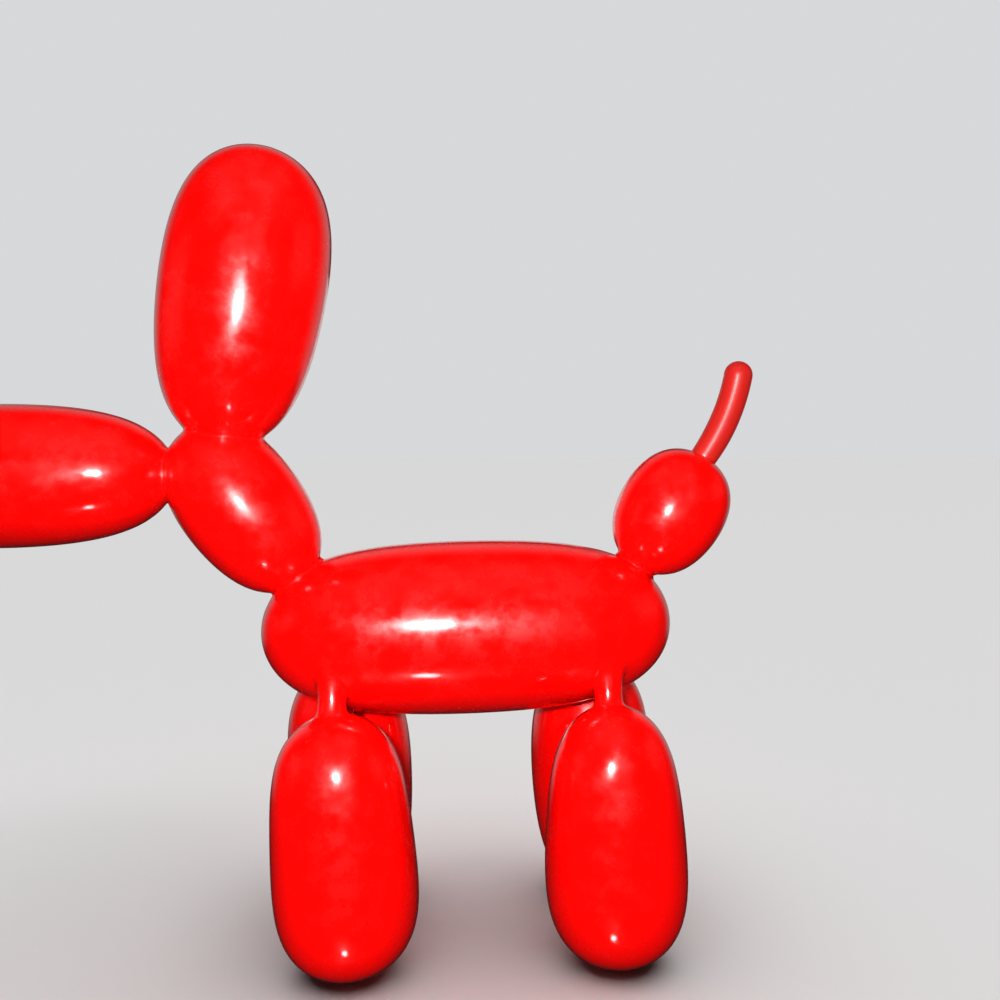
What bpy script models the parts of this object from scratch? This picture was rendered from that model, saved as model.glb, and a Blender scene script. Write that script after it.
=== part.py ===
"""Balloon poodle: a balloon-twister's dog as one large moulded figure.

The figure is a chain of egg-shaped lobes that run into one another: muzzle, topknot, neck, body and
the ball of the tail, with four legs that hang from the body on short tubes. The curved tail tip is
a piece of its own and stands on the ball.

Metres, +Z up, feet on z = 0, muzzle towards -X, left and right along Y.
"""

import math
from typing import NamedTuple

import bmesh
import bpy
from mathutils import Vector


class Lobe(NamedTuple):
    """An egg on a straight long axis. Its top end is the end that the slope points to."""

    x: float
    y: float
    z: float            # centre of the long axis
    length: float
    diameter: float
    slope: float        # degrees from +X up towards +Z
    egg: float          # above 0 the top end is the fuller one
    fullness: float     # 0 is an ellipse, more has blunter ends and a straighter side


def standing_leg(x, y, length, diameter, slope, egg, fullness):
    """A leg's lobe at the height where its end reaches FOOT_PRESS below the ground."""
    return Lobe(x, y, length / 2.0 - FOOT_PRESS, length, diameter, slope, egg, fullness)


# The lobes on the middle plane
MUZZLE = Lobe(-0.884, 0.0, 1.440, 1.027, 0.432, 0.5, 0.00, 0.24)
TOPKNOT = Lobe(-0.164, 0.0, 1.970, 0.899, 0.494, 80.2, 0.065, 0.23)
NECK = Lobe(-0.171, 0.0, 1.342, 0.580, 0.371, -54.0, -0.03, 0.15)
BODY = Lobe(0.510, 0.0, 0.966, 1.272, 0.537, 1.0, 0.00, 0.305)
TAIL_BALL = Lobe(1.146, 0.0, 1.319, 0.412, 0.336, 57.5, 0.035, 0.12)

# The legs stand in pairs on both sides of the middle plane. The near side is the one at -Y.
# They hang down, so a leg's top end in the sense of its lobe is its foot.
LEG_SPREAD = 0.242      # middle plane to the middle of a leg
FOOT_PRESS = 0.004      # how far the end of a leg is flattened where it stands
NEAR_FRONT_LEG = standing_leg(0.134, -LEG_SPREAD, 0.767, 0.426, -86.6, 0.10, 0.42)
NEAR_REAR_LEG = standing_leg(0.933, -LEG_SPREAD, 0.777, 0.424, -88.0, 0.13, 0.36)
FAR_FRONT_LEG = standing_leg(0.128, LEG_SPREAD, 0.805, 0.410, -86.0, -0.10, 0.28)
FAR_REAR_LEG = standing_leg(0.936, LEG_SPREAD, 0.805, 0.402, -90.0, -0.13, 0.25)

# The short tubes that carry the legs lean inwards, from the top of a leg into the body's flank
HANGER_X = {
    "near_front_leg": 0.105, "near_rear_leg": 0.918,
    "far_front_leg": 0.105, "far_rear_leg": 0.936,
}
HANGER_DIAMETER = 0.088
HANGER_FOOT = 0.760     # height where a tube stands on its leg
HANGER_INSET = 0.037    # how far the tube's axis there lies inside the leg's axis
HANGER_LEAN = 18.0      # degrees from upright
HANGER_ABOVE = 0.17     # length above its foot, up to its end inside the body
HANGER_BELOW = 0.08     # length below its foot, inside the leg

# The tail tip is an arc with a rounded end
TIP_ROOT = Vector((1.233, 0.0, 1.468))   # where its axis starts, inside the ball
TIP_ROOT_HEADING = 52.0
TIP_END_HEADING = 80.0
TIP_LENGTH = 0.353
TIP_ROOT_DIAMETER = 0.083
TIP_END_DIAMETER = 0.090
TIP_FULL_AT = 0.55      # share of the length where it has grown to its full width
HAIRLINE = 0.0003       # gap between the tip and the ball it stands on

# The slab that is taken off below the feet
GROUND_RADIUS = 1.2
GROUND_DEPTH = 0.1

# Facets
LOBE_SIDES = 32
LOBE_RINGS = 16
HANGER_SIDES = 18
TIP_BENDS = 14
TIP_END_RINGS = 4
TIP_LAST_RING = 84.0    # degrees round the end at which its last ring lies
TIP_ROUNDNESS = 4       # bevel resolution of the tip
MERGE_DISTANCE = 0.00005

# Finishes
LACQUER_ROUGHNESS = 0.06
SATIN_ROUGHNESS = 0.35
LACQUER_RED = (0.80, 0.002, 0.001, 1.0)
SATIN_RED = (0.50, 0.012, 0.009, 1.0)


def clear_scene():
    for old in list(bpy.data.objects):
        bpy.data.objects.remove(old, do_unlink=True)


def new_collection(name):
    collection = bpy.data.collections.new(name)
    bpy.context.scene.collection.children.link(collection)
    return collection


def material(name, colour, roughness, coat):
    made = bpy.data.materials.new(name)
    made.use_nodes = True
    shader = made.node_tree.nodes["Principled BSDF"]
    shader.inputs["Base Color"].default_value = colour
    shader.inputs["Metallic"].default_value = 0.0
    shader.inputs["Roughness"].default_value = roughness
    shader.inputs["Coat Weight"].default_value = coat
    return made


def lobe_radius(lobe, u):
    """Radius at u, which runs from -1 at the bottom end to +1 at the top end."""
    return math.sqrt(max(0.0, 1.0 - u * u)) * (1.0 + lobe.egg * u + lobe.fullness * u * u)


def widest(lobe, samples=400):
    return max(lobe_radius(lobe, 2.0 * i / samples - 1.0) for i in range(samples + 1))


def turned(name, profile, sides, collection):
    """Turn a profile of (radius, height) pairs, listed top to bottom, about Z."""
    mesh = bpy.data.meshes.new(name)
    edges = [(i, i + 1) for i in range(len(profile) - 1)]
    mesh.from_pydata([(radius, 0.0, height) for radius, height in profile], edges, [])
    made = bpy.data.objects.new(name, mesh)
    collection.objects.link(made)
    screw = made.modifiers.new("turn", "SCREW")
    screw.axis = "Z"
    screw.angle = math.tau
    screw.steps = sides
    screw.render_steps = sides
    screw.use_merge_vertices = True
    screw.merge_threshold = MERGE_DISTANCE
    return made


def place(made, lobe):
    """Stand a shape that was turned about Z on the lobe's own axis."""
    made.location = (lobe.x, lobe.y, lobe.z)
    made.rotation_euler = (0.0, math.radians(90.0 - lobe.slope), 0.0)


def add_lobe(name, lobe, collection, grow=0.0):
    """A lobe, or with grow a lobe whose skin lies that much further out."""
    half = lobe.length / 2.0
    across = lobe.diameter / 2.0 / widest(lobe)
    profile = []
    for ring in range(LOBE_RINGS + 1):
        u = math.cos(math.pi * ring / LOBE_RINGS)
        radius = across * lobe_radius(lobe, u)
        radius = radius * (1.0 + grow / (lobe.diameter / 2.0))
        profile.append((radius, u * (half + grow)))
    made = turned(name, profile, LOBE_SIDES, collection)
    place(made, lobe)
    return made


def add_hanger(name, x, side, collection):
    """The leaning tube from inside the top of a leg into the body."""
    radius = HANGER_DIAMETER / 2.0
    profile = [(0.0, HANGER_ABOVE), (radius, HANGER_ABOVE), (radius, -HANGER_BELOW),
               (0.0, -HANGER_BELOW)]
    made = turned(name, profile, HANGER_SIDES, collection)
    made.location = (x, side * (LEG_SPREAD - HANGER_INSET), HANGER_FOOT)
    made.rotation_euler = (side * math.radians(HANGER_LEAN), 0.0, 0.0)
    return made


def add_ground(collection):
    """A slab below z = 0 that flattens the feet."""
    made = turned("ground", [(0.0, 0.0), (GROUND_RADIUS, 0.0), (GROUND_RADIUS, -GROUND_DEPTH),
                             (0.0, -GROUND_DEPTH)], LOBE_SIDES, collection)
    made.location = (BODY.x, 0.0, 0.0)
    return made


def as_mesh_object(source, name, collection):
    """Freeze an evaluated object as a mesh object with its doubles merged."""
    bpy.context.view_layer.update()
    evaluated = source.evaluated_get(bpy.context.evaluated_depsgraph_get())
    mesh = bpy.data.meshes.new_from_object(evaluated)
    shape = bmesh.new()
    shape.from_mesh(mesh)
    bmesh.ops.remove_doubles(shape, verts=shape.verts, dist=MERGE_DISTANCE)
    bmesh.ops.recalc_face_normals(shape, faces=shape.faces)
    shape.to_mesh(mesh)
    shape.free()
    made = bpy.data.objects.new(name, mesh)
    made.matrix_world = source.matrix_world
    collection.objects.link(made)
    bpy.data.objects.remove(source, do_unlink=True)
    return made


def boolean(target, operation, cutter=None, cutters=None):
    step = target.modifiers.new(operation.lower(), "BOOLEAN")
    step.operation = operation
    step.solver = "EXACT"
    if cutters is not None:
        step.operand_type = "COLLECTION"
        step.collection = cutters
    else:
        step.object = cutter


def hide_helper(made):
    made.hide_render = True
    made.display_type = "WIRE"


def finish(made, paint):
    made.data.materials.clear()
    made.data.materials.append(paint)
    made.data.shade_smooth()


def tip_axis():
    """Points and radii along the tail tip, from inside the ball to the rounded end."""
    root, end = math.radians(TIP_ROOT_HEADING), math.radians(TIP_END_HEADING)
    end_radius = TIP_END_DIAMETER / 2.0
    straight = TIP_LENGTH - end_radius
    point, along = TIP_ROOT.copy(), []
    for bend in range(TIP_BENDS + 1):
        share = bend / TIP_BENDS
        swell = math.sin(min(1.0, share / TIP_FULL_AT) * math.pi / 2.0)
        radius = (TIP_ROOT_DIAMETER + (TIP_END_DIAMETER - TIP_ROOT_DIAMETER) * swell) / 2.0
        along.append((point.copy(), radius))
        heading = root + (end - root) * (bend + 0.5) / TIP_BENDS
        if bend < TIP_BENDS:
            point = point + Vector((math.cos(heading), 0.0, math.sin(heading))) * straight / TIP_BENDS
    ahead = Vector((math.cos(end), 0.0, math.sin(end)))
    for ring in range(1, TIP_END_RINGS + 1):
        turn = math.radians(TIP_LAST_RING) * ring / TIP_END_RINGS
        along.append((point + ahead * end_radius * math.sin(turn), end_radius * math.cos(turn)))
    return along


def add_tail_tip(collection):
    along = tip_axis()
    curve = bpy.data.curves.new("tail_tip_axis", "CURVE")
    curve.dimensions = "3D"
    curve.bevel_depth = 1.0
    curve.bevel_resolution = TIP_ROUNDNESS
    curve.use_fill_caps = True
    spline = curve.splines.new("POLY")
    spline.points.add(len(along) - 1)
    for point, (place_at, radius) in zip(spline.points, along):
        point.co = (*place_at, 1.0)
        point.radius = radius
    axis = bpy.data.objects.new("tail_tip_axis", curve)
    collection.objects.link(axis)
    return as_mesh_object(axis, "tail_tip", collection)


def build():
    clear_scene()
    figure = new_collection("balloon_poodle")
    lobes = new_collection("lobes_to_join")
    cutters = new_collection("cutters")

    legs = {
        "near_front_leg": NEAR_FRONT_LEG, "near_rear_leg": NEAR_REAR_LEG,
        "far_front_leg": FAR_FRONT_LEG, "far_rear_leg": FAR_REAR_LEG,
    }
    joined = {"muzzle": MUZZLE, "topknot": TOPKNOT, "neck": NECK, "tail_ball": TAIL_BALL, **legs}
    for name, lobe in joined.items():
        hide_helper(add_lobe(name, lobe, lobes))
    for name, leg in legs.items():
        side = math.copysign(1.0, leg.y)
        hide_helper(add_hanger(name + "_hanger", HANGER_X[name], side, lobes))
    ground = add_ground(cutters)
    hide_helper(ground)

    poodle = add_lobe("poodle", BODY, figure)
    boolean(poodle, "UNION", cutters=lobes)
    boolean(poodle, "DIFFERENCE", cutter=ground)
    finish(poodle, material("lacquer_red", LACQUER_RED, LACQUER_ROUGHNESS, 1.0))

    ball_seat = add_lobe("ball_seat", TAIL_BALL, cutters, grow=HAIRLINE)
    hide_helper(ball_seat)
    tail_tip = add_tail_tip(figure)
    boolean(tail_tip, "DIFFERENCE", cutter=ball_seat)
    finish(tail_tip, material("satin_red", SATIN_RED, SATIN_ROUGHNESS, 0.0))


build()
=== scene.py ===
# %% [markdown]
# # Balloon poodle
#
# A balloon twister's dog, made large as a moulded and lacquered figure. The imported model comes
# first and stays as it is. It fixes the frame: metres, +Z up, the feet on z = 0, the muzzle
# towards -X. Each cell below then makes one thing that the eye sees, in that same frame.

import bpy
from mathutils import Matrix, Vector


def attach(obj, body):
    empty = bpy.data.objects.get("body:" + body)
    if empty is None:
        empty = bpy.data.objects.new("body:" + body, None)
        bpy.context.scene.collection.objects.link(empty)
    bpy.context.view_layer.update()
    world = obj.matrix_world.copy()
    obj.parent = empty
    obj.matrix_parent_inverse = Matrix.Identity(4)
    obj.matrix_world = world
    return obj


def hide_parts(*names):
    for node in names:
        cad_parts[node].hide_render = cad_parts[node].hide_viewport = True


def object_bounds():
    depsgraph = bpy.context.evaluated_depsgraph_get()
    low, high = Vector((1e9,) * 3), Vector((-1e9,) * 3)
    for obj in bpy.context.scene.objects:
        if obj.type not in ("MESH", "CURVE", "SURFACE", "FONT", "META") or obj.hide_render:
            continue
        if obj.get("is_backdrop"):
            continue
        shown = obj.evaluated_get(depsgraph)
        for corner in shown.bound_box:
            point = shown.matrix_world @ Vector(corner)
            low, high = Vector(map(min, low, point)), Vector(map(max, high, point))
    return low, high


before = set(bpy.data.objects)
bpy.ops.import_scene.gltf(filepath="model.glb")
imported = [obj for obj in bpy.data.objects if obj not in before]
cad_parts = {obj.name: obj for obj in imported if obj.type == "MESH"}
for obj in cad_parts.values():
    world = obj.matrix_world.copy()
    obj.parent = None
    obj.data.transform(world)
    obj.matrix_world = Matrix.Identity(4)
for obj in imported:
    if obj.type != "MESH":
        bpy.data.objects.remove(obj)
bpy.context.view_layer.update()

# %% [markdown]
# Blender's own modules make the shapes, and NumPy does the sums on many points at once.

# %% The rest of the tools
import math
from typing import NamedTuple

import bmesh
import bpy
import numpy as np
from mathutils import Matrix, Vector

# %% [markdown]
# ## The camera
#
# The photograph was taken from the dog's left side, a little above the middle of the figure and
# about three metres away. That is close for a thing this long, so the near legs look larger than
# the far ones. A lens as long as the sensor is wide gives the same view angle.

# %% Camera
CAMERA_AZIMUTH = math.radians(-4.4)
CAMERA_ELEVATION = math.radians(4.5)
CAMERA_DISTANCE = 3.10
LOOK_AT = Vector((0.610, 0.0, 1.360))
SENSOR_WIDTH = 36.0     # millimetres, and the lens is as long

camera_back = Vector((
    math.sin(CAMERA_AZIMUTH) * math.cos(CAMERA_ELEVATION),
    -math.cos(CAMERA_AZIMUTH) * math.cos(CAMERA_ELEVATION),
    math.sin(CAMERA_ELEVATION),
))
camera = bpy.data.objects.new("camera", bpy.data.cameras.new("camera"))
bpy.context.scene.collection.objects.link(camera)
camera.location = LOOK_AT + camera_back * CAMERA_DISTANCE
camera.rotation_euler = camera_back.to_track_quat("Z", "Y").to_euler()
camera.data.lens = SENSOR_WIDTH
camera.data.sensor_width = SENSOR_WIDTH
bpy.context.scene.camera = camera
print("camera at", [round(c, 3) for c in camera.location])

# %% [markdown]
# ## The lobes
#
# Every part of the dog but the tail tip is an egg: blunt or pointed, fat at one end or even. One
# small table can hold them all. Each row gives the middle of the long axis, the length and the
# largest diameter, the slope of the axis, how much fuller one end is, and how blunt both are.

# %% A lobe in eight numbers
class Lobe(NamedTuple):
    x: float
    y: float
    z: float            # middle of the long axis
    length: float
    diameter: float
    slope: float        # degrees from +X up towards +Z, the way to the top end
    egg: float          # above 0 the top end is the fuller one
    fullness: float     # 0 is an ellipse, more has blunter ends


LEG_SPREAD = 0.242      # middle plane to the middle of a leg
FOOT_PRESS = 0.004      # how far the end of a leg is flattened where it stands


def standing_leg(x, y, length, diameter, slope, egg, fullness):
    """A leg hangs down, so the top end of its lobe is its foot."""
    return Lobe(x, y, length / 2.0 - FOOT_PRESS, length, diameter, slope, egg, fullness)


LOBES = {
    "muzzle": Lobe(-0.884, 0.0, 1.440, 1.027, 0.432, 0.5, 0.00, 0.24),
    "topknot": Lobe(-0.164, 0.0, 1.970, 0.899, 0.494, 80.2, 0.065, 0.23),
    "neck": Lobe(-0.171, 0.0, 1.342, 0.580, 0.371, -54.0, -0.03, 0.15),
    "body": Lobe(0.510, 0.0, 0.966, 1.272, 0.537, 1.0, 0.00, 0.305),
    "tail_ball": Lobe(1.146, 0.0, 1.319, 0.412, 0.336, 57.5, 0.035, 0.12),
    "near_front_leg": standing_leg(0.134, -LEG_SPREAD, 0.767, 0.426, -86.6, 0.10, 0.42),
    "near_rear_leg": standing_leg(0.933, -LEG_SPREAD, 0.777, 0.424, -88.0, 0.13, 0.36),
    "far_front_leg": standing_leg(0.128, LEG_SPREAD, 0.805, 0.410, -86.0, -0.10, 0.28),
    "far_rear_leg": standing_leg(0.936, LEG_SPREAD, 0.805, 0.402, -90.0, -0.13, 0.25),
}
print(len(LOBES), "lobes, the longest", max(lobe.length for lobe in LOBES.values()), "m")

# %% [markdown]
# ## One skin for the whole dog
#
# On the real figure the lobes are one moulding. Where two of them meet, the skin turns in a soft
# crease and not in a sharp line. There are two common ways to get that. One is to join the solids
# with a Boolean and bevel the seams, but a bevel is poor where two curved skins meet at a shallow
# angle. The other is to fuse them with a voxel remesh, which gives even faces everywhere.
#
# This lesson fuses them, and then settles each point of the mesh on the exact surface. That
# surface is where a smooth "distance to the dog" is nought, so it is true at every point.

# %% Turn a ball into a lobe
BALL_SEGMENTS = 40
BALL_RINGS = 28
PROFILE_SAMPLES = 401   # places where the width is tried, to find the widest
ON_AXIS = 1e-6          # a point this near to the axis has no direction away from it


def widths(lobe, u):
    """Half width of a lobe at u, which runs from -1 at one end to +1 at the top end."""
    return np.sqrt(np.clip(1.0 - u * u, 0.0, 1.0)) * (1.0 + lobe.egg * u + lobe.fullness * u * u)


def belly_scale(lobe):
    """What makes the widest place of the lobe as wide as its diameter says."""
    return lobe.diameter / 2.0 / widths(lobe, np.linspace(-1.0, 1.0, PROFILE_SAMPLES)).max()


def axis_of(lobe):
    slope = math.radians(lobe.slope)
    return Vector((math.cos(slope), 0.0, math.sin(slope)))


def add_lobe(shape, lobe):
    ball = bmesh.ops.create_uvsphere(shape, u_segments=BALL_SEGMENTS, v_segments=BALL_RINGS,
                                     radius=1.0)["verts"]
    scale = belly_scale(lobe)
    for vertex in ball:
        u = vertex.co.z
        around = Vector((vertex.co.x, vertex.co.y, 0.0))
        if around.length > ON_AXIS:
            around = around.normalized() * float(widths(lobe, u)) * scale
        vertex.co = around + Vector((0.0, 0.0, u * lobe.length / 2.0))
    lean = Matrix.Rotation(math.radians(90.0 - lobe.slope), 4, "Y")
    place = Matrix.Translation((lobe.x, lobe.y, lobe.z)) @ lean
    bmesh.ops.transform(shape, matrix=place, verts=ball)


rough = bmesh.new()
for lobe in LOBES.values():
    add_lobe(rough, lobe)
print("lobes:", len(rough.verts), "points")

# %% [markdown]
# The legs hang from the body on short tubes, each about nine centimetres thick. A tube leans
# inwards from the top of its leg into the body's flank. It could be a curve with a thickness, but
# its two ends are hidden and it is nearly straight, so a plain cone will do here. The exact
# surface below gives it its slight waist.

# %% The four tubes
HANGERS = {             # x and side of each
    "near_front": (0.105, -1.0), "near_rear": (0.918, -1.0),
    "far_front": (0.105, 1.0), "far_rear": (0.936, 1.0),
}
HANGER_RADIUS = 0.044
HANGER_FOOT = 0.760     # height where a tube stands on its leg
HANGER_INSET = 0.037    # how far its axis there lies inside the leg's axis
HANGER_LEAN = math.radians(18.0)
HANGER_REACH = (-0.04, 0.13)    # from inside the leg to inside the body, along the tube
HANGER_SIDES = 24


def hanger_ends(x, side):
    foot = Vector((x, side * (LEG_SPREAD - HANGER_INSET), HANGER_FOOT))
    along = Vector((0.0, -side * math.sin(HANGER_LEAN), math.cos(HANGER_LEAN)))
    return foot + along * HANGER_REACH[0], foot + along * HANGER_REACH[1]


hangers = [hanger_ends(x, side) for x, side in HANGERS.values()]
for low, high in hangers:
    along = high - low
    turn = along.to_track_quat("Z", "Y").to_matrix().to_4x4()
    bmesh.ops.create_cone(
        rough, cap_ends=True, segments=HANGER_SIDES, radius1=HANGER_RADIUS, radius2=HANGER_RADIUS,
        depth=along.length, matrix=Matrix.Translation((low + high) / 2.0) @ turn,
    )
print(len(hangers), "tubes")

# %% [markdown]
# The remesh throws the overlapping shells away and keeps one skin around them all. Its voxels are
# a little over a centimetre, small beside the 40 cm lobes and fine enough for the tubes.

# %% Fuse
SKIN_VOXEL = 0.0138


def as_object(shape, name):
    mesh = bpy.data.meshes.new(name)
    shape.to_mesh(mesh)
    shape.free()
    made = bpy.data.objects.new(name, mesh)
    bpy.context.scene.collection.objects.link(made)
    return made


rough_object = as_object(rough, "rough_dog")
fuse = rough_object.modifiers.new("fuse", "REMESH")
fuse.mode = "VOXEL"
fuse.voxel_size = SKIN_VOXEL
fused = rough_object.evaluated_get(bpy.context.evaluated_depsgraph_get())
skin = bmesh.new()
skin.from_mesh(fused.to_mesh())
bpy.data.objects.remove(rough_object, do_unlink=True)
print("fused skin:", len(skin.verts), "points,", len(skin.faces), "faces")

# %% [markdown]
# Now the exact surface. For one lobe, a number q is 1 on the skin, less inside and more outside.
# Divided by how fast it grows, q - 1 is very nearly the distance to that lobe. The distances to
# all lobes and tubes are then melted into one: far from a joint the nearest lobe decides alone,
# and within about two centimetres of a joint both have a say, which rounds the crease.

# %% Distance to the dog, and the way out of it
CREASE_SOFTNESS = 0.0056
SKIN_INSET = 0.0013     # the skin lies this far inside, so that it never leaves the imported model
HANGER_WAIST_RADIUS = 0.0425
HANGER_WAIST_AT = 0.42  # share of the tube's length where it is slimmest, as a pinched balloon is
HANGER_FLARE = 0.060    # how much wider it would be a whole length away from there
PAST_THE_ENDS = 1.15    # beyond this u a lobe's formula isn't followed any further
LEAST_Q = 1e-6          # this and the next keep a division from failing
LEAST_LENGTH = 1e-9


def lobe_distance(lobe, points):
    axis = np.array(axis_of(lobe))
    from_middle = points - np.array((lobe.x, lobe.y, lobe.z))
    along = from_middle @ axis
    outward = from_middle - along[:, None] * axis
    off_axis = np.maximum(np.linalg.norm(outward, axis=1), LEAST_LENGTH)
    half = lobe.length / 2.0
    u = along / half
    near_u = np.clip(u, -PAST_THE_ENDS, PAST_THE_ENDS)
    full = 1.0 + lobe.egg * near_u + lobe.fullness * near_u ** 2
    full_slope = lobe.egg + 2.0 * lobe.fullness * near_u
    across = off_axis / (belly_scale(lobe) * full)
    q = np.maximum(np.sqrt(across ** 2 + u ** 2), LEAST_Q)
    grow_off = across / (belly_scale(lobe) * full) / q
    grow_along = (u - across ** 2 * full_slope / full) / half / q
    growth = grow_off[:, None] * outward / off_axis[:, None] + grow_along[:, None] * axis
    speed = np.linalg.norm(growth, axis=1)
    return (q - 1.0) / speed, growth / speed[:, None]


def hanger_distance(low, high, points):
    low, high = np.array(low), np.array(high)
    along = high - low
    reach = np.linalg.norm(along)
    share = np.clip((points - low) @ along / reach ** 2, 0.0, 1.0)
    outward = points - (low + share[:, None] * along)
    far = np.maximum(np.linalg.norm(outward, axis=1), LEAST_LENGTH)
    from_waist = share - HANGER_WAIST_AT
    radius = HANGER_WAIST_RADIUS + HANGER_FLARE * from_waist ** 2
    widening = 2.0 * HANGER_FLARE * from_waist / reach
    way = outward / far[:, None] - widening[:, None] * along / reach
    speed = np.linalg.norm(way, axis=1)
    return (far - radius) / speed, way / speed[:, None]


def dog_distance(points):
    """Distance to the melted skin, the way out at each point, and each part's own distance."""
    found = [lobe_distance(lobe, points) for lobe in LOBES.values()]
    found += [hanger_distance(low, high, points) for low, high in hangers]
    each = np.stack([distance for distance, _ in found], axis=1)
    ways = np.stack([way for _, way in found], axis=1)
    nearest = each.min(axis=1)
    say = np.exp(-(each - nearest[:, None]) / CREASE_SOFTNESS)
    total = say.sum(axis=1)
    melted = nearest - CREASE_SOFTNESS * np.log(total)
    way = (say[:, :, None] * ways).sum(axis=1) / total[:, None]
    way /= np.linalg.norm(way, axis=1)[:, None]
    return melted + SKIN_INSET, way, each


# %% [markdown]
# Smoothing spreads the points evenly and shrinks the skin a little. Each smoothing is therefore
# followed by a step straight back to the surface. After a few rounds both have settled.

# %% Settle the skin on the surface
SMOOTH_ROUNDS = 4
SMOOTH_FACTOR = 0.5
SETTLE_STEPS = 2        # after each smoothing


def settle(shape, steps):
    points = np.array([vertex.co for vertex in shape.verts])
    for _ in range(steps):
        distance, way, _ = dog_distance(points)
        points = points - distance[:, None] * way
    for vertex, point in zip(shape.verts, points):
        vertex.co = point
    return np.abs(dog_distance(points)[0]).max()


for _ in range(SMOOTH_ROUNDS):
    bmesh.ops.smooth_vert(skin, verts=skin.verts, factor=SMOOTH_FACTOR, use_axis_x=True,
                          use_axis_y=True, use_axis_z=True)
    off = settle(skin, SETTLE_STEPS)
print("farthest point from the surface: %.2f mm" % (off * 1000.0))

# %% [markdown]
# The creases turn within two centimetres, which is little more than one face. Finer voxels
# everywhere would cost far too many faces, so only the creases are divided, in three passes. Each
# halves the edges in a narrower band than the last. An edge is near a crease where two of the
# dog's parts are close at once.

# %% Finer faces in the creases
CREASE_REACHES = (0.028, 0.014, 0.006)
CREASE_SETTLE_STEPS = 4

for reach in CREASE_REACHES:
    _, _, each = dog_distance(np.array([vertex.co for vertex in skin.verts]))
    near_crease = np.sort(each, axis=1)[:, 1] < reach
    skin.verts.index_update()
    fine_edges = [edge for edge in skin.edges if all(near_crease[v.index] for v in edge.verts)]
    bmesh.ops.subdivide_edges(skin, edges=fine_edges, cuts=1, use_grid_fill=True)
    off = settle(skin, CREASE_SETTLE_STEPS)
    print("after a crease pass:", len(skin.faces), "faces, %.2f mm off" % (off * 1000.0))

# %% [markdown]
# A foot that stands is flat where it touches the ground. The cut leaves four round holes, and
# one flat face closes each.

# %% Flat feet
CUT_TOLERANCE = 1e-6

skin_parts = list(skin.verts) + list(skin.edges) + list(skin.faces)
bmesh.ops.bisect_plane(skin, geom=skin_parts, dist=CUT_TOLERANCE,
                       plane_co=(0.0, 0.0, 0.0), plane_no=(0.0, 0.0, -1.0), clear_outer=True)
rims = [edge for edge in skin.edges if edge.is_boundary]
flats = bmesh.ops.holes_fill(skin, edges=rims, sides=0)["faces"]
bmesh.ops.recalc_face_normals(skin, faces=skin.faces)
print(len(flats), "flat feet")

# %% [markdown]
# A mirror-like lacquer shows every facet of its mesh. Blender can be given the true direction
# of the surface at each corner of each face, and the reflections then run as smoothly as on the
# real thing.

# %% The skin as an object with true normals
FLAT_FACING = -0.9999   # a face that looks this straight down is one of the flat feet

poodle = as_object(skin, "lacquered_dog")
mesh = poodle.data
mesh.shade_smooth()
points = np.zeros(len(mesh.vertices) * 3)
mesh.vertices.foreach_get("co", points)
_, way, _ = dog_distance(points.reshape(-1, 3))
corner_vertex = np.zeros(len(mesh.loops), dtype=np.int64)
mesh.loops.foreach_get("vertex_index", corner_vertex)
corner_normals = way[corner_vertex]
for face in mesh.polygons:
    if face.normal.z < FLAT_FACING:
        corner_normals[list(face.loop_indices)] = (0.0, 0.0, -1.0)
mesh.normals_split_custom_set([tuple(normal) for normal in corner_normals])
print("lacquered dog:", len(mesh.polygons), "faces")

# %% [markdown]
# ## The tail tip
#
# The free end of the last balloon: a bent finger, slim at the ball and round at its end. It was
# made on its own and set on the ball, and its red is paler and less glossy. A ring of points is
# pushed along the arc, turned a little at each step and widened. A curve with a thickness could
# make the same arc, but its ends would be plain, and this one is round at one end and fits the
# ball at the other.

# %% Bend a finger
TIP_ROOT = Vector((1.233, 0.0, 1.468))
TIP_ROOT_HEADING = math.radians(52.0)
TIP_END_HEADING = math.radians(80.0)
TIP_LENGTH = 0.353
TIP_ROOT_RADIUS = 0.0415
TIP_END_RADIUS = 0.045
TIP_FULL_AT = 0.55      # share of the length where it has grown to its full width
TIP_STEPS = 44
TIP_CAP_STEPS = 10
TIP_SIDES = 48
TIP_SKIN_INSET = 0.0009


def heading_vector(heading):
    return Vector((math.cos(heading), 0.0, math.sin(heading)))


def tip_radius(share):
    swell = math.sin(min(1.0, share / TIP_FULL_AT) * math.pi / 2.0)
    return TIP_ROOT_RADIUS + (TIP_END_RADIUS - TIP_ROOT_RADIUS) * swell - TIP_SKIN_INSET


def push_ring(shape, ring, centre, ahead, scale, turn=0.0):
    """Extrude a ring, move it ahead, turn it about its new middle and scale it."""
    grown = bmesh.ops.extrude_edge_only(shape, edges=ring)["geom"]
    verts = [part for part in grown if isinstance(part, bmesh.types.BMVert)]
    edges = [part for part in grown if isinstance(part, bmesh.types.BMEdge)]
    bmesh.ops.translate(shape, verts=verts, vec=ahead)
    bmesh.ops.rotate(shape, verts=verts, cent=centre, matrix=Matrix.Rotation(turn, 3, "Y"))
    bmesh.ops.scale(shape, verts=verts, vec=(scale, scale, scale),
                    space=Matrix.Translation(-centre))
    return edges


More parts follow.
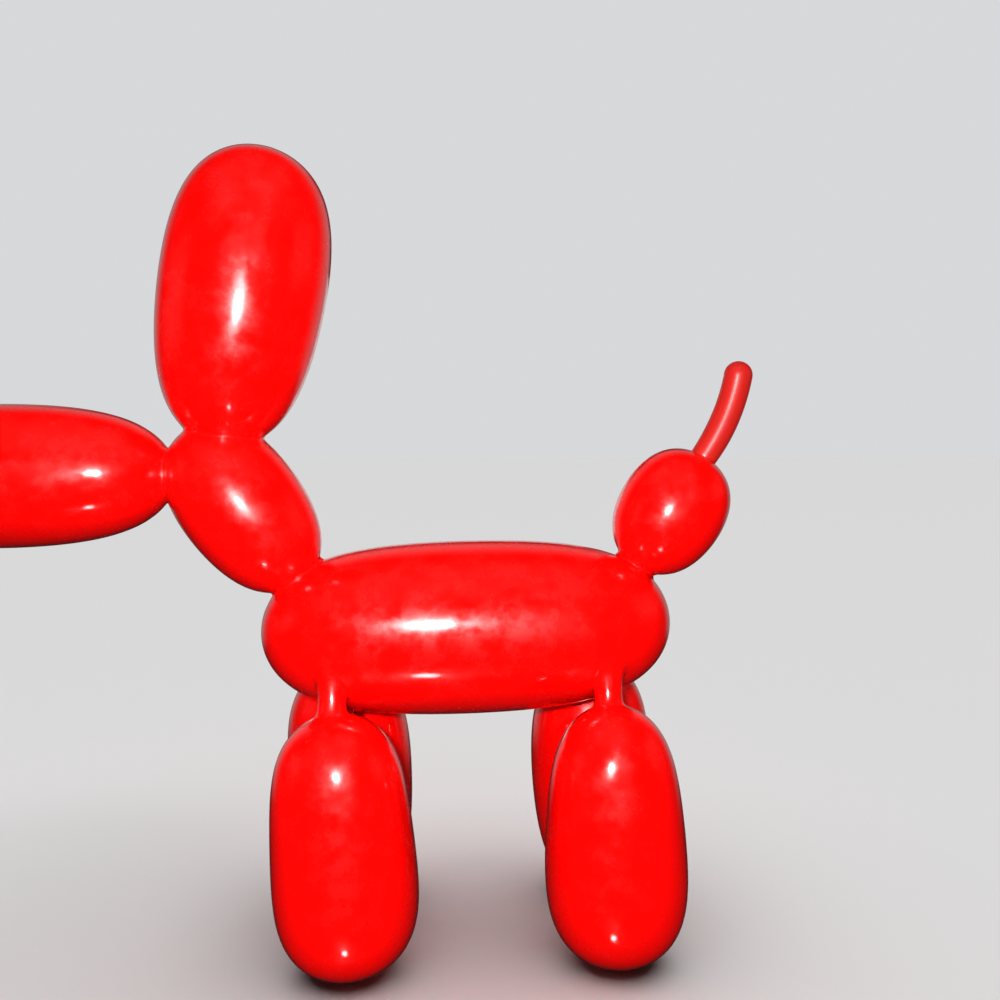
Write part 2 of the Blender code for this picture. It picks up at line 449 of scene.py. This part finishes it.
finger = bmesh.new()
facing = heading_vector(TIP_ROOT_HEADING).to_track_quat("Z", "Y").to_matrix().to_4x4()
bmesh.ops.create_circle(finger, cap_ends=False, segments=TIP_SIDES, radius=tip_radius(0.0),
                        matrix=Matrix.Translation(TIP_ROOT) @ facing)
ring = list(finger.edges)
straight = TIP_LENGTH - TIP_END_RADIUS
step_turn = (TIP_END_HEADING - TIP_ROOT_HEADING) / TIP_STEPS
centre = TIP_ROOT.copy()
for step in range(TIP_STEPS):
    ahead = heading_vector(TIP_ROOT_HEADING + step_turn * (step + 0.5)) * straight / TIP_STEPS
    centre = centre + ahead
    widen = tip_radius((step + 1) / TIP_STEPS) / tip_radius(step / TIP_STEPS)
    ring = push_ring(finger, ring, centre, ahead, widen, -step_turn)
print("finger reaches", [round(c, 3) for c in centre])

# %% [markdown]
# The end is half a ball. The same ring goes on, now shrinking by the cosine of its angle while it
# moves ahead by the sine, and a last point closes the pole.

# %% Round its end
QUARTER_TURN = math.radians(90.0)

cap_radius = TIP_END_RADIUS - TIP_SKIN_INSET
forward = heading_vector(TIP_END_HEADING)
middle = centre.copy()
for step in range(1, TIP_CAP_STEPS):
    angle = QUARTER_TURN * step / TIP_CAP_STEPS
    before = QUARTER_TURN * (step - 1) / TIP_CAP_STEPS
    ahead = forward * cap_radius * (math.sin(angle) - math.sin(before))
    centre = centre + ahead
    ring = push_ring(finger, ring, centre, ahead, math.cos(angle) / math.cos(before))
grown = bmesh.ops.extrude_edge_only(finger, edges=ring)["geom"]
pole = [part for part in grown if isinstance(part, bmesh.types.BMVert)]
bmesh.ops.pointmerge(finger, verts=pole, merge_co=middle + forward * cap_radius)
print("rounded end at", [round(c, 3) for c in middle + forward * cap_radius])

# %% [markdown]
# The real finger sits on the ball with no gap. A Boolean could cut it to the ball, but the ball's
# own surface is known exactly. So each point that lies inside the ball slides out along the
# finger's axis until it is just under the ball's skin.

# %% Seat it on the ball
SEAT_GAP = -0.0022      # a little into the ball, so that no gap shows round it
SLIDE_ROUNDS = 12
MERGE_DISTANCE = 0.0012     # rings that have slid into one another become one

ball = LOBES["tail_ball"]
root_way = heading_vector(TIP_ROOT_HEADING)
seated = 0
for _ in range(SLIDE_ROUNDS):
    spots = np.array([vertex.co for vertex in finger.verts])
    depth, way = lobe_distance(ball, spots)
    lifts = (SEAT_GAP - depth) / (way @ np.array(root_way))
    for vertex, inside, lift in zip(finger.verts, depth < SEAT_GAP, lifts):
        if inside:
            vertex.co += root_way * float(lift)
            seated += 1
bmesh.ops.remove_doubles(finger, verts=finger.verts, dist=MERGE_DISTANCE)
rim = [edge for edge in finger.edges if edge.is_boundary]
bmesh.ops.holes_fill(finger, edges=rim, sides=0)
bmesh.ops.recalc_face_normals(finger, faces=finger.faces)
tail_tip = as_object(finger, "tail_finger")
tail_tip.data.shade_smooth()
print("tail finger:", len(tail_tip.data.polygons), "faces,", seated, "slides")

# %% [markdown]
# ## Finishes
#
# Both finishes are made of a few nodes that repeat: noise, a node that moves a range of values to
# another, and a mix of two colours. An image could give the same clouds, but noise needs no file
# and stays sharp from near by. It reads the object's own coordinates, so each pattern stays fixed
# to the figure.

# %% Helpers for finishes
def new_finish(name):
    made = bpy.data.materials.new(name)
    made.use_nodes = True
    nodes, links = made.node_tree.nodes, made.node_tree.links
    return made, nodes, links, nodes["Principled BSDF"]


def add_noise(nodes, links, place, scale, detail):
    noise = nodes.new("ShaderNodeTexNoise")
    noise.inputs["Scale"].default_value = scale
    noise.inputs["Detail"].default_value = detail
    links.new(place.outputs["Object"], noise.inputs["Vector"])
    return noise


def move_range(nodes, links, source, low, high, new_low=0.0, new_high=1.0):
    """Move the values between low and high to the range from new_low to new_high."""
    moved = nodes.new("ShaderNodeMapRange")
    moved.inputs["From Min"].default_value = low
    moved.inputs["From Max"].default_value = high
    moved.inputs["To Min"].default_value = new_low
    moved.inputs["To Max"].default_value = new_high
    links.new(source, moved.inputs["Value"])
    return moved.outputs["Result"]


def mix_colours(nodes, links, factor, first, second):
    """The first colour where the factor is 0, and the second where it is 1."""
    mix = nodes.new("ShaderNodeMix")
    mix.data_type = "RGBA"
    mix.inputs["A"].default_value = first
    mix.inputs["B"].default_value = second
    links.new(factor, mix.inputs["Factor"])
    return mix.outputs["Result"]


# %% [markdown]
# The dog is sprayed with a deep red and then with clear lacquer, which is polished. A
# Principled shader has both layers: a base with a soft shine, and a coat that mirrors. Hand
# filled and sanded mouldings are never dead true, so a very low bump bends the reflections
# slightly. The polish isn't even either: noise on the roughness of the base makes the haze that
# lies round the highlights.

# %% Red lacquer
LACQUER_RED = (0.80, 0.001, 0.0006, 1.0)
LACQUER_DEEP = (0.74, 0.0008, 0.0005, 1.0)
LACQUER_IOR = 1.40
COAT_IOR = 1.5
COAT_ROUGHNESS = 0.08
TONE_SCALE, TONE_DETAIL = 3.0, 4.0          # a scale is roughly the patches in a metre
TONE_RANGE = (0.25, 0.5)                    # all deep below it, all bright above it
SMEAR_SCALE, SMEAR_DETAIL, SMEAR_GRIT = 14.0, 9.0, 0.62
SMEAR_RANGE = (0.38, 0.62)
POLISH_RANGE = (0.13, 0.33)                 # roughness where it is polished best and least
SANDING_SCALE, SANDING_DETAIL = 14.0, 3.0
SANDING_STRENGTH, SANDING_HEIGHT = 0.35, 0.0009

lacquer, nodes, links, shader = new_finish("red_lacquer")
shader.inputs["IOR"].default_value = LACQUER_IOR
shader.inputs["Coat Weight"].default_value = 1.0
shader.inputs["Coat Roughness"].default_value = COAT_ROUGHNESS
shader.inputs["Coat IOR"].default_value = COAT_IOR
place = nodes.new("ShaderNodeTexCoord")

cloud = add_noise(nodes, links, place, TONE_SCALE, TONE_DETAIL)
share = move_range(nodes, links, cloud.outputs["Fac"], *TONE_RANGE)
tone = mix_colours(nodes, links, share, LACQUER_DEEP, LACQUER_RED)
links.new(tone, shader.inputs["Base Color"])

smear = add_noise(nodes, links, place, SMEAR_SCALE, SMEAR_DETAIL)
smear.inputs["Roughness"].default_value = SMEAR_GRIT
polish = move_range(nodes, links, smear.outputs["Fac"], *SMEAR_RANGE, *POLISH_RANGE)
links.new(polish, shader.inputs["Roughness"])

sanding = add_noise(nodes, links, place, SANDING_SCALE, SANDING_DETAIL)
bump = nodes.new("ShaderNodeBump")
bump.inputs["Strength"].default_value = SANDING_STRENGTH
bump.inputs["Distance"].default_value = SANDING_HEIGHT
links.new(sanding.outputs["Fac"], bump.inputs["Height"])
links.new(bump.outputs["Normal"], shader.inputs["Normal"])
links.new(bump.outputs["Normal"], shader.inputs["Coat Normal"])
poodle.data.materials.append(lacquer)
print("lacquer nodes:", len(nodes))

# %% [markdown]
# The tail tip has a thinner, duller finish. Its highlight is a long narrow streak, so it isn't
# matt, only less polished.

# %% Satin red
SATIN_RED = (0.41, 0.009, 0.006, 1.0)
SATIN_PALE = (0.45, 0.012, 0.009, 1.0)
SATIN_IOR = 1.5
SATIN_ROUGHNESS = 0.30
SATIN_SCALE, SATIN_DETAIL = 22.0, 3.0

satin, nodes, links, shader = new_finish("satin_red_skin")
shader.inputs["IOR"].default_value = SATIN_IOR
shader.inputs["Roughness"].default_value = SATIN_ROUGHNESS
place = nodes.new("ShaderNodeTexCoord")
cloud = add_noise(nodes, links, place, SATIN_SCALE, SATIN_DETAIL)
tone = mix_colours(nodes, links, cloud.outputs["Fac"], SATIN_RED, SATIN_PALE)
links.new(tone, shader.inputs["Base Color"])
tail_tip.data.materials.append(satin)
print("satin nodes:", len(nodes))

# %% [markdown]
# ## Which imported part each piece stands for
#
# Both pieces ride on the one body, and each hides the plain solid whose place it takes.

# %% Ride and replace
for piece, node, finish_name in ((poodle, "poodle", "lacquer_red"),
                                 (tail_tip, "tail_tip", "satin_red")):
    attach(piece, "root")
    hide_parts(node)

# %% [markdown]
# ## The studio
#
# A plain pale floor comes first. It is one large face with a single matt grey, so that nothing on
# it competes with the figure.

# %% Floor
FLOOR_GREY = (0.75, 0.75, 0.75, 1.0)
FLOOR_ROUGHNESS = 0.9
FLOOR_REACH = 40.0      # metres from the middle to each edge
FLOOR_DROP = 0.0005     # just under the feet, so that the two faces don't coincide

floor_shape = bmesh.new()
bmesh.ops.create_grid(floor_shape, x_segments=1, y_segments=1, size=FLOOR_REACH)
floor = as_object(floor_shape, "floor")
floor.location.z = -FLOOR_DROP
floor_finish, nodes, links, shader = new_finish("studio_floor")
shader.inputs["Base Color"].default_value = FLOOR_GREY
shader.inputs["Roughness"].default_value = FLOOR_ROUGHNESS
floor.data.materials.append(floor_finish)
floor.visible_shadow = False
floor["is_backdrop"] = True
print("floor grey", FLOOR_GREY[0])

# %% [markdown]
# A small bright lamp beside the camera draws the round highlight on each lobe. One lamp alone
# would leave the sides black, and large bright panels would show up as pale patches in the
# lacquer. So the panels above, in front, behind and at both ends light the base colour only, and
# the gloss doesn't see them. Light linking keeps all of them off the floor.

# %% Lights
FIGURE_MIDDLE = (0.0, 0.0, 1.2)
FLASH_ASIDE = -0.2      # metres to the camera's right, so it stands to the left
FLASH_ABOVE = 0.15
FLASH_SIZE = (0.18, 0.13)
FLASH_WATTS = 150.0


def add_area(name, spot, aim, width, height, watts, shape="RECTANGLE"):
    light = bpy.data.lights.new(name, "AREA")
    light.shape = shape
    light.size = width
    light.size_y = height
    light.energy = watts
    made = bpy.data.objects.new(name, light)
    bpy.context.scene.collection.objects.link(made)
    made.location = spot
    made.rotation_euler = (Vector(spot) - Vector(aim)).to_track_quat("Z", "Y").to_euler()
    made.visible_camera = False
    return made


def shine_only_on(light, targets):
    lit = bpy.data.collections.new(light.name + "_shines_on")
    for target in targets:
        lit.objects.link(target)
    light.light_linking.receiver_collection = lit


camera_right = Vector((math.cos(CAMERA_AZIMUTH), math.sin(CAMERA_AZIMUTH), 0.0))
camera_up = camera_back.cross(camera_right)
flash_spot = camera.location + camera_right * FLASH_ASIDE + camera_up * FLASH_ABOVE
flash = add_area("flash", flash_spot, LOOK_AT, *FLASH_SIZE, FLASH_WATTS)
shine_only_on(flash, [poodle, tail_tip])

SOFT_LIGHTS = {         # place, width, height and watts
    "overhead": ((0.0, -1.5, 5.5), 6.0, 5.0, 110.0),
    "front_fill": ((0.5, -7.0, 2.5), 6.0, 4.0, 280.0),
    "back_fill": ((0.5, 7.0, 3.0), 6.0, 3.0, 400.0),
    "left_fill": ((-7.5, 0.0, 3.0), 5.0, 3.0, 150.0),
    "right_fill": ((7.5, 0.0, 3.0), 5.0, 3.0, 150.0),
}
for name, (spot, width, height, watts) in SOFT_LIGHTS.items():
    soft_light = add_area(name, spot, FIGURE_MIDDLE, width, height, watts)
    soft_light.visible_glossy = False
    shine_only_on(soft_light, [poodle, tail_tip])
print(1 + len(SOFT_LIGHTS), "lamps on the figure")

# %% [markdown]
# Seen from behind, lacquer without anything to mirror looks like matt paint. A dim window behind
# the figure gives that side its highlight. It has to be dim: from the front it only grazes the
# outline, and a bright one would draw white lines there.

# %% A dim window behind, for the far side's gloss
WINDOW_SPOT = (0.2, 5.0, 1.4)
WINDOW_SIZE = (3.5, 2.2)
WINDOW_WATTS = 15.0

back_window = add_area("back_window", WINDOW_SPOT, FIGURE_MIDDLE, *WINDOW_SIZE, WINDOW_WATTS)
shine_only_on(back_window, [poodle, tail_tip])
print("window of", WINDOW_WATTS, "W")

# %% [markdown]
# The body and the legs in the photograph have a second, smaller highlight low down: the lamp
# again, mirrored by a shiny floor. This floor is matt, so a disc under it stands in for that
# mirror image. Only the gloss sees it.

# %% The lamp again, as a shiny floor mirrors it
FLOOR_GLINT_SPOT = (0.085, -3.29, -3.29)
FLOOR_GLINT_AIM = (0.40, -0.30, 0.70)
FLOOR_GLINT_ACROSS = 0.45
FLOOR_GLINT_WATTS = 10.0

floor_glint = add_area("floor_glint", FLOOR_GLINT_SPOT, FLOOR_GLINT_AIM, FLOOR_GLINT_ACROSS,
                       FLOOR_GLINT_ACROSS, FLOOR_GLINT_WATTS, "DISK")
floor_glint.visible_diffuse = False
shine_only_on(floor_glint, [poodle, tail_tip])
print("mirrored lamp of", FLOOR_GLINT_WATTS, "W")

# %% [markdown]
# The floor gets its own light, because the lamps above don't reach it. A sun as wide as a cloudy
# sky lights it evenly and leaves a soft shadow round the feet. The floor is hidden from the gloss
# and from bounced light, or the undersides would turn grey.

# %% A wash for the floor alone
WASH_STRENGTH = 2.85
WASH_ANGLE = math.radians(80.0)
WASH_SPOT = (0.0, 0.0, 6.0)     # a sun shines alike from anywhere, so this is only out of the way

wash = bpy.data.lights.new("floor_wash", "SUN")
wash.energy = WASH_STRENGTH
wash.angle = WASH_ANGLE
floor_wash = bpy.data.objects.new("floor_wash", wash)
bpy.context.scene.collection.objects.link(floor_wash)
floor_wash.location = WASH_SPOT
shine_only_on(floor_wash, [floor])
floor.visible_glossy = False
floor.visible_diffuse = False
print("wash of strength", WASH_STRENGTH)

# %% [markdown]
# The camera sees an even pale grey around the figure. The lacquer sees another room: dark, with a
# glow behind the figure, at both sides and above, which ends short of the ground. It shows as the
# pale rims along the outlines. Each "step" below fades that glow in over a range of directions.

# %% World
WORLD_GREY = (0.80, 0.81, 0.83, 1.0)
WORLD_TO_CAMERA = 0.85  # strength of the even grey
ROOM_GLOW = 0.34        # strength of the glow that the lacquer mirrors
ROOM_DARK = 0.012       # strength of the rest of that room
GLOW_BESIDE = (0.18, 0.45)      # each pair: where the glow starts, and where it is full
GLOW_ABOVE = (0.35, 0.60)
GLOW_BEHIND = (0.45, 0.88)
GLOW_OFF_GROUND = (-0.33, -0.18)

world = bpy.data.worlds.new("studio")
world.use_nodes = True
nodes, links = world.node_tree.nodes, world.node_tree.links
nodes["Background"].inputs["Color"].default_value = WORLD_GREY
direction = nodes.new("ShaderNodeTexCoord")
split = nodes.new("ShaderNodeSeparateXYZ")
links.new(direction.outputs["Generated"], split.inputs["Vector"])


def world_step(source, low, high):
    """0 below low, 1 above high, smooth in between."""
    fade = nodes.new("ShaderNodeMapRange")
    fade.interpolation_type = "SMOOTHSTEP"
    fade.inputs["From Min"].default_value = low
    fade.inputs["From Max"].default_value = high
    links.new(source, fade.inputs["Value"])
    return fade.outputs["Result"]


def world_math(operation, first, second):
    made = nodes.new("ShaderNodeMath")
    made.operation = operation
    for socket, value in zip(made.inputs, (first, second)):
        if isinstance(value, float):
            socket.default_value = value
        else:
            links.new(value, socket)
    return made.outputs["Value"]


sideways = world_math("ABSOLUTE", split.outputs["X"], 0.0)
beside = world_step(sideways, *GLOW_BESIDE)
above = world_step(split.outputs["Z"], *GLOW_ABOVE)
behind = world_step(split.outputs["Y"], *GLOW_BEHIND)
off_ground = world_step(split.outputs["Z"], *GLOW_OFF_GROUND)
glow = world_math("MAXIMUM", beside, above)
glow = world_math("MULTIPLY", glow, behind)
glow = world_math("MULTIPLY", glow, off_ground)
glow = world_math("MULTIPLY", glow, ROOM_GLOW)
glow = world_math("ADD", glow, ROOM_DARK)
seen_by = nodes.new("ShaderNodeLightPath")
whole = nodes.new("ShaderNodeMix")
whole.inputs["B"].default_value = WORLD_TO_CAMERA
links.new(seen_by.outputs["Is Camera Ray"], whole.inputs["Factor"])
links.new(glow, whole.inputs["A"])
links.new(whole.outputs["Result"], nodes["Background"].inputs["Strength"])
bpy.context.scene.world = world
bpy.context.scene.view_settings.view_transform = "Standard"
print("world nodes:", len(nodes))

# %% [markdown]
# ## Sizes
#
# The dressed figure has to stay inside the box of the imported one, so its box is printed.

# %% Print the dressed figure's box and finish
low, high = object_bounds()
print("dressed figure from", [round(c, 3) for c in low], "to", [round(c, 3) for c in high])
